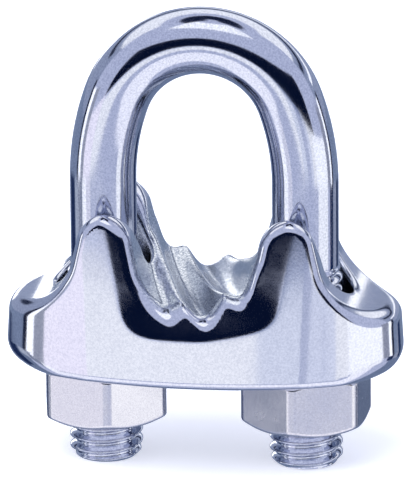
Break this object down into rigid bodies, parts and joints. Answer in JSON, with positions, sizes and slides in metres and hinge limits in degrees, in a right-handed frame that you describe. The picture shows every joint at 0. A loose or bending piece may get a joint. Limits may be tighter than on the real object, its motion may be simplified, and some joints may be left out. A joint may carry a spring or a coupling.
{
  "type": "wire rope clip",
  "caption": "Stainless wire rope clip: a cast saddle with four towers and a ribbed rope seat, a threaded U-bolt and hexagon nuts that draw the bow down onto the rope.",
  "frame": {"origin": "on the axis of a 10 mm rope lying in the seat, midway between the U-bolt's legs and midway along the saddle's width", "axes": "+X across the two legs, +Y along the rope, +Z from the saddle up to the bow; the nuts and the threaded ends are at -Z"},
  "size_m": [0.0432, 0.022, 0.0509],
  "materials": {
    "polished_casting": "polished stainless casting, satin in the rope seat",
    "polished_rod": "polished drawn stainless rod with a rolled thread",
    "satin_nut": "satin stainless steel"
  },
  "bodies": {
    "saddle": {"saddle": "polished_casting"},
    "u_bolt": {"u_bolt": "polished_rod"},
    "nut_left": {"nut_left": "satin_nut"},
    "nut_right": {"nut_right": "satin_nut"}
  },
  "joints": [
    {"name": "nut_left_turn", "type": "hinge", "parent": "saddle", "child": "nut_left", "pos_m": [-0.011, 0, -0.01745], "axis": [0, 0, 1], "range_deg": [-1080, 2880]},
    {"name": "nut_right_turn", "type": "hinge", "parent": "saddle", "child": "nut_right", "pos_m": [0.011, 0, -0.01745], "axis": [0, 0, 1], "range_deg": [-1080, 2880]},
    {"name": "u_bolt_draw", "type": "slide", "parent": "saddle", "child": "u_bolt", "axis": [0, 0, -1], "range_m": [-0.00376, 0.01001]}
  ],
  "couplings": [
    {"joint": "nut_right_turn", "follows": "nut_left_turn", "ratio": 1},
    {"joint": "u_bolt_draw", "follows": "nut_left_turn", "m_per_rad": 0.00019894}
  ]
}
